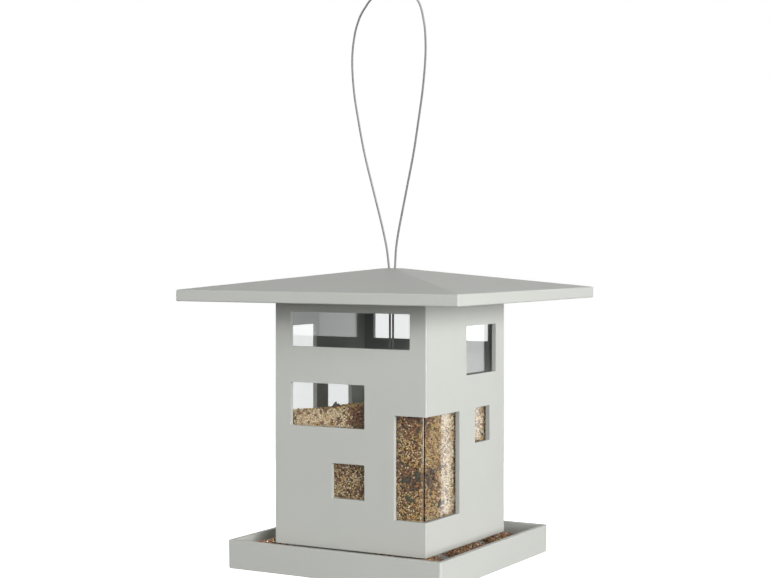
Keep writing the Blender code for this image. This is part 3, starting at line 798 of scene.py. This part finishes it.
def grainsOnTop():
    s = tankSeed
    half = tank["inner"] - s["topRoom"]
    spots = scatter((-half, -half), 2 * half, 2 * half, "tank", s["clusters"]["top"])
    x, y, kinds = spots.T
    z = seedHeight(x, y) + rng.uniform(*s["topScatter"], len(x))
    clear = np.hypot(x, y) > s["cableRoom"]
    standing = np.array([(a, b, seedHeight(a, b) + lift) for a, b, lift in s["standing"]])
    places = np.concatenate([np.stack([x, y, z], -1)[clear], standing])
    kinds = np.concatenate([kinds[clear], [kindNames.index("hemp")] * len(standing)])
    return addObject("seedOnTop", grainMesh("seedOnTop", places, kinds))


def bigSeeds():
    # these lie flat against the panes
    places, turns = [], []
    for along, up, face, turn in tankSeed["bigOnes"]:
        places.append(onFace(face, along, tank["inner"] - tankSeed["bigOffPane"], up))
        outward, sideways = onFace(face, 0, 1, 0), onFace(face, 1, 0, 0)
        c, n = math.cos(math.radians(turn)), math.sin(math.radians(turn))
        length = c * sideways + n * np.array([0, 0, 1])
        turns.append(np.stack([length, np.cross(outward, length), outward], 1))
    striped = [kindNames.index("striped")] * len(places)
    return addObject("bigSeed", grainMesh("bigSeed", np.array(places), striped, np.array(turns)))


def layTankSeed():
    mass = massInTank()
    made = [mass] + [grainsBehindPane(face) for face in faceTurn]
    made += [grainsOnTop(), bigSeeds()]
    for piece in made:
        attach(piece, "base")
    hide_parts("seed_fill")
    return [len(piece.data.polygons) for piece in made]


print("seed in the tank, faces:", layTankSeed())


traySeed = {
    # out from the middle: under the house, at its face, at the tray's wall, and the end of a side
    "inner": 0.07675,
    "houseHalf": 0.08245,
    "wall": 0.1088,
    "cornerLimit": 0.1066,
    # the seed's height at the house and at the wall, and how much fuller it is between them
    "crest": 0.0205,
    "wallTop": 0.0136,
    "fuller": 0.0004,
    # the tray's floor, and the deflector's slope above it
    "floor": 0.0036,
    "shoulder": 0.07045,
    "shoulderHeight": 0.0205,
    "skirt": 0.1010,
    "skirtHeight": 0.0095,
    "gap": 0.0004,
    "ripple": 0.0007,
    "waves": ((7.0, 1.7, 1.0), (15.0, 0.6, 0.6)),   # waves along a side, shift, strength
    # where on each side seed is heaped, how high, and how it leans from the house to the wall
    "pile": {"right": (-1, 0.0095, 0.6), "front": (1, 0.0095, 0.6), "left": (0.86, 0.0070, 0.12)},
    "pileWidth": 0.18,
    # where each side is bare, and how widely
    "bare": {
        "right": ((-0.555, 0.145), (0.455, 0.15)),
        "back": ((0.15, 0.25),),
        "left": ((0.55, 0.2),),
        "front": ((-0.25, 0.60),),
    },
    "thinning": 0.8,
    "bareBelow": 0.42,              # share of seed under which there are only single grains
    "strays": (0.22, 0.45, 0.03),   # a grain's chance grows from this share, over this range,
                                    # and is never less than this
    # the seed mass under the grains, dark with painted shade
    "stations": 81,
    "massUnder": 0.0011,
    "thinnest": 0.0001,
    "weldWithin": 0.0000001,
    # room to the mitre, the wall, the end of a side and the house
    "mitre": 0.992,
    "wallRoom": 0.0012,
    "endRoom": 0.0010,
    "houseRoom": 0.0010,
    "crestRoom": 0.0008,
    # heights of grains over the floor and over the heap, and their scatter
    "strayLift": 0.0008,
    "overFloor": 0.0006,
    "overHeap": -0.0003,
    "scatter": (-0.0009, 0.0003),
}
trayAcross = np.array([traySeed["inner"], traySeed["houseHalf"],
                       0.5 * (traySeed["wall"] + traySeed["houseHalf"]), traySeed["wall"]])


def rampHeight(d):
    # what the seed lies on
    s = traySeed
    share = (d - s["shoulder"]) / (s["skirt"] - s["shoulder"])
    ramp = s["shoulderHeight"] + (s["skirtHeight"] - s["shoulderHeight"]) * share
    return np.where(d > s["skirt"] + s["gap"], s["floor"], ramp + s["gap"])


def fillShare(face, t):
    share = np.zeros_like(t)
    for spot, width in traySeed["bare"][face]:
        share = np.maximum(share, np.exp(-((t - spot) / width) ** 2))
    return 1 - traySeed["thinning"] * share


def spiltHeight(face, t, d):
    # top of the spilt seed: t along the side in half sides, d out from the middle
    s = traySeed
    wave = s["ripple"] * sum(strength * np.sin(waves * t + shift * faceTurn[face])
                             for waves, shift, strength in s["waves"])
    fill = fillShare(face, t)
    full = np.interp(d, trayAcross, [s["crest"], s["crest"],
                                     0.5 * (s["wallTop"] + s["crest"]) + s["fuller"], s["wallTop"]])
    if face in s["pile"]:
        place, height, lean = s["pile"][face]
        heap = np.exp(-((t - place) / s["pileWidth"]) ** 2)
        outward = np.clip((d - s["houseHalf"]) / (s["wall"] - s["houseHalf"]), 0, 1)
        full = full + height * heap * outward ** lean
    floor = rampHeight(d)
    return floor + (full + wave * (d > s["houseHalf"] + s["houseRoom"]) - floor) * fill, fill


def massInTray(face):
    # the seed mass under the grains, dark with painted shade, in lumps where the tray isn't bare
    s = traySeed
    lumps = [[]]
    for t in np.linspace(-1, 1, s["stations"]):
        height, fill = spiltHeight(face, np.full(len(trayAcross), t), trayAcross)
        if fill[0] < s["bareBelow"]:
            lumps.append([])
            continue
        top = height - s["massUnder"]
        floor = np.minimum(rampHeight(trayAcross), top - s["thinnest"])
        along = t * np.minimum(trayAcross - s["gap"], s["cornerLimit"])
        upper, lower = (onFace(face, along, trayAcross, up) for up in (top, floor))
        lumps[-1].append(np.concatenate([upper, lower[::-1]]))
    corners, quads = [], []
    for lump in lumps:
        if len(lump) > 2:
            rows = np.array(lump)
            count, sides = rows.shape[:2]
            index = len(corners) + np.arange(count * sides).reshape(count, sides)
            quads.extend(ringFaces(index))
            for end in (index[0], index[-1]):
                for k in range(1, sides // 2):
                    quads.append((end[k - 1], end[k], end[-1 - k], end[-k]))
            corners.extend(rows.reshape(-1, 3))
    mesh = meshFrom("spiltMass", corners, quads)
    closeMesh(mesh, weldWithin=s["weldWithin"])
    return addObject("spiltMass" + face.capitalize(), mesh, seedShadeMass)


def grainsInTray(face):
    s = traySeed
    spots = scatter((-s["cornerLimit"], s["inner"]), 2 * s["cornerLimit"],
                    s["wall"] - s["inner"], "tray")
    along, d, kinds = spots.T
    t = along / d
    height, fill = spiltHeight(face, t, d)
    start, span, least = s["strays"]
    chance = np.clip((fill - start) / span, least, 1.0)
    keep = (rng.uniform(size=len(t)) < chance) & (np.abs(t) < s["mitre"])
    keep &= (d < s["wall"] - s["wallRoom"]) & (np.abs(along) < s["cornerLimit"] - s["endRoom"])
    stray = fill < s["bareBelow"]
    lift = np.where(stray, s["strayLift"], 0.0) + rng.uniform(*s["scatter"], len(t))
    up = np.where(stray, rampHeight(d) + s["overFloor"], height + s["overHeap"]) + lift
    underHouse = d < s["houseHalf"] + s["houseRoom"]
    up = np.where(underHouse, np.minimum(up, s["crest"] - s["crestRoom"]), up)
    grains = grainMesh("spiltSeed", onFace(face, along, d, up)[keep], kinds[keep])
    return addObject("spiltSeed" + face.capitalize(), grains)


def laySpiltSeed(face):
    mass, grains = massInTray(face), grainsInTray(face)
    for piece in (mass, grains):
        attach(piece, "base")
    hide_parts("tray_seed_" + face)
    return len(grains.data.polygons)


print("seed in the tray, faces:", [laySpiltSeed(face) for face in faceTurn])


studio = {
    "floorHeight": -0.30,
    "floorSize": 40.0,
    "floorColour": 0.50,
    "floorGlow": 0.84,              # the floor's own white below the feeder, to show the shadow
    "glowReach": (0.6, 1.8),        # distances between which it rises to full white
    "bounce": (0.04, 0.15),         # light that the floor sends up, on the -X and +X sides
    "bounceReach": (-0.6, 0.6),     # places in X between which it changes
    "ambient": 0.01,
    "mirrorLow": 0.15,              # what reflections find below and above the horizon
    "mirrorHigh": 1.0,
    "horizon": (-0.03, 0.08),
}


def raySorts(board):
    # shares of rays straight from the view (also through clear plastic), and of mirrored ones
    path = board.node("LightPath")
    camera, glossy, passed, scattered, bounced = (path.beside(name) for name in (
        "Is Camera Ray", "Is Glossy Ray", "Is Transmission Ray", "Diffuse Depth", "Glossy Depth"))
    unscattered = scattered < 0.5
    straight = camera + passed * unscattered * (bounced < 0.5)
    mirrored = (glossy + passed * (bounced > 0.5)) * unscattered
    return straight, mirrored


def whiteLight(board, kind, strength):
    return board.node(kind, {}, {"Color": (1, 1, 1, 1), "Strength": strength})


def makeFloor():
    s = studio
    half, z, tone = s["floorSize"] / 2, s["floorHeight"], s["floorColour"]
    corners = [(-half, -half, z), (half, -half, z), (half, half, z), (-half, half, z)]
    mesh = meshFrom("studioFloor", corners, [(0, 1, 2, 3)], smooth=False)
    board = newBoard("studioFloor")
    straight, mirrored = raySorts(board)
    place = board.node("TexCoord", output="Object")
    matt = board.node("BsdfDiffuse", {}, {"Color": (tone, tone, tone, 1.0)})
    reach = board.node("VectorMath", {"operation": "LENGTH"}, {0: place}, "Value")
    own = reach.fade(*s["glowReach"], s["floorGlow"], 1.0, "SMOOTHSTEP")
    shown = board.node("AddShader", {}, {0: matt, 1: whiteLight(board, "Emission", own)})
    bounce = place.parts()[0].fade(*s["bounceReach"], *s["bounce"], "SMOOTHSTEP")
    unseen = board.node("MixShader", {}, {0: mirrored, 1: whiteLight(board, "Emission", bounce),
                                          2: whiteLight(board, "Emission", s["mirrorLow"])})
    board.finish(board.node("MixShader", {}, {0: straight, 1: unseen, 2: shown}))
    floor = addObject("studioFloor", mesh, board.owner)


def makeWorld():
    s = studio
    world = bpy.data.worlds.new("studio")
    bpy.context.scene.world = world
    board = Board(world, "ShaderNodeOutputWorld")
    straight, mirrored = raySorts(board)
    height = board.node("TexCoord", output="Generated").parts()[2]
    sky = height.fade(*s["horizon"], s["mirrorLow"], s["mirrorHigh"], "SMOOTHSTEP")
    dim, card, white = (whiteLight(board, "Background", strength)
                        for strength in (s["ambient"], sky, 1.0))
    unseen = board.node("MixShader", {}, {0: mirrored, 1: dim, 2: card})
    board.finish(board.node("MixShader", {}, {0: straight, 1: unseen, 2: white}))


# azimuths from the +X side towards the +Y side, height angles, distance, radiance
lamps = {
    "lowKey": ((-31.0, -13.0), (-6.0, 4.0), 3.0, 7.5),
    "key": ((-31.0, -13.0), (4.0, 24.0), 3.0, 8.0),
    "frontRight": ((-50.0, -31.0), (-4.0, 20.0), 3.0, 6.0),
    "side": ((-13.0, 5.0), (-4.0, 20.0), 3.0, 5.6),
    "backSide": ((5.0, 40.0), (-4.0, 20.0), 3.0, 1.0),
    "frontLeft": ((-134.0, -106.0), (12.0, 36.0), 3.0, 3.2),
    "front": ((-106.0, -80.0), (5.0, 25.0), 3.0, 3.1),
    # these two light the far sides
    "back": ((96.0, 140.0), (-8.0, 18.0), 3.0, 2.6),
    "backLeft": ((140.0, 186.0), (-8.0, 18.0), 3.0, 1.3),
}
lampLevel = 0.16            # the height that their angles start from
overheadLamp = {"place": (0.35, 0.45, 2.30), "aim": (0, 0, 0.3), "size": 1.0, "radiance": 0.4}
# cards that stand in the tank's reflections: edge nearest the view, edge furthest from it,
# lower and upper height, radiance
cards = {
    "lowCard": ((0.9176, 1.7515), (0.9996, 1.7098), (-0.280, -0.020), 1.1),
    "highCard": ((0.9176, 1.7515), (0.9996, 1.7098), (-0.020, 0.165), 1.7),
    "shortCard": ((0.9996, 1.7098), (1.0552, 1.6815), (0.060, 0.165), 1.2),
}


def hangLamp(name, centre, aim, width, height, radiance, reflects=False):
    data = bpy.data.lights.new(name, "AREA")
    data.shape = "RECTANGLE"
    data.size = width
    data.size_y = height
    data.energy = 4 * radiance * width * height     # an area lamp's watts for this radiance
    lamp = bpy.data.objects.new(name, data)
    bpy.context.scene.collection.objects.link(lamp)
    lamp.location = centre
    lamp.rotation_euler = (Vector(aim) - Vector(centre)).to_track_quat("-Z", "Y").to_euler()
    lamp.visible_camera = False
    lamp.visible_glossy = reflects
    lamp.visible_transmission = reflects


def hangLamps():
    for name, (azimuths, angles, distance, radiance) in lamps.items():
        turn = math.radians(sum(azimuths) / 2)
        width = 2 * distance * math.tan(math.radians(azimuths[1] - azimuths[0]) / 2)
        low, high = (lampLevel + distance * math.tan(math.radians(angle)) for angle in angles)
        centre = (distance * math.cos(turn), distance * math.sin(turn), (low + high) / 2)
        hangLamp(name, centre, (0, 0, centre[2]), width, high - low, radiance)
    o = overheadLamp
    hangLamp("overhead", o["place"], o["aim"], o["size"], o["size"], o["radiance"])
    for name, (near, far, heights, radiance) in cards.items():
        near, far = Vector((*near, 0)), Vector((*far, 0))
        centre = (near + far) / 2 + Vector((0, 0, sum(heights) / 2))
        outward = (far - near).normalized().cross(Vector((0, 0, 1)))
        aim = centre + (outward if outward.y < 0 else -outward)
        hangLamp(name, centre, aim, (far - near).length, heights[1] - heights[0], radiance, True)


makeFloor()
makeWorld()
hangLamps()
bpy.context.scene.view_settings.view_transform = "Standard"
print("studio set:", len(lamps) + 1, "lamps and", len(cards), "cards")
